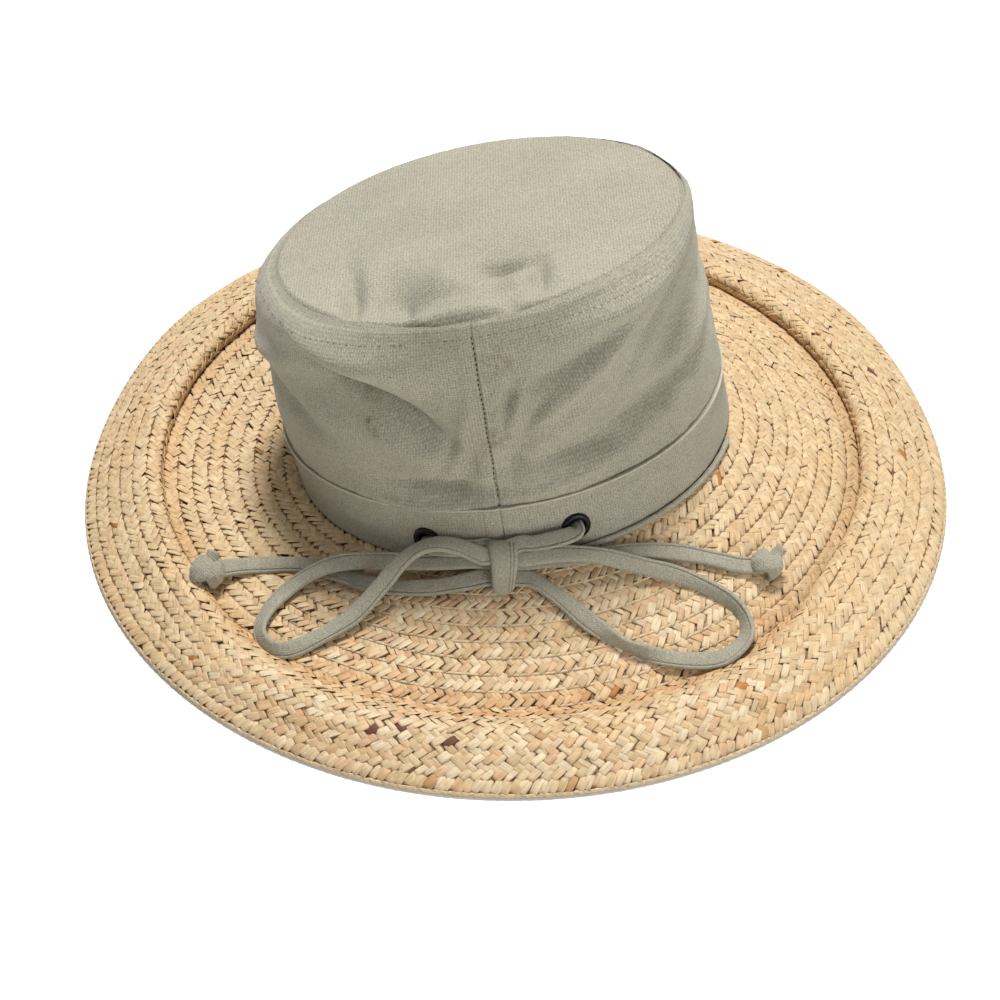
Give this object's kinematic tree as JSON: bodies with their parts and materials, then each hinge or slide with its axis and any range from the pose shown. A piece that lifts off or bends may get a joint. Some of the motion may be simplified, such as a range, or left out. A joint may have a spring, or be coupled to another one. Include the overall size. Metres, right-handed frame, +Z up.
{
  "type": "wide-brim sun hat",
  "caption": "Wide-brim sun hat: a soft canvas crown on a plaited straw brim with a rolled rim, with a canvas drawstring tied in a bow at the band.",
  "frame": {"origin": "on the surface the hat rests on, under the middle of its brim", "axes": "+Z is up out of the crown, the bow is towards -Y, and +X is to the right of the bow as seen from the bow's side"},
  "size_m": [0.371, 0.371, 0.1495],
  "materials": {
    "straw": "matt plaited straw",
    "canvas": "matt washed canvas",
    "black_metal": "satin black"
  },
  "bodies": {
    "root": {"brim": "straw", "rim": "straw", "crown_side": "canvas", "crown_tip": "canvas", "crown_band": "canvas", "base_welt": "canvas", "eyelet_left": "black_metal", "eyelet_right": "black_metal", "lead_left": "canvas", "loop_left": "canvas", "tail_left": "canvas", "lead_right": "canvas", "loop_right": "canvas", "tail_right": "canvas", "bow_knot": "canvas", "end_knot_left": "canvas", "end_knot_right": "canvas"}
  },
  "joints": []
}
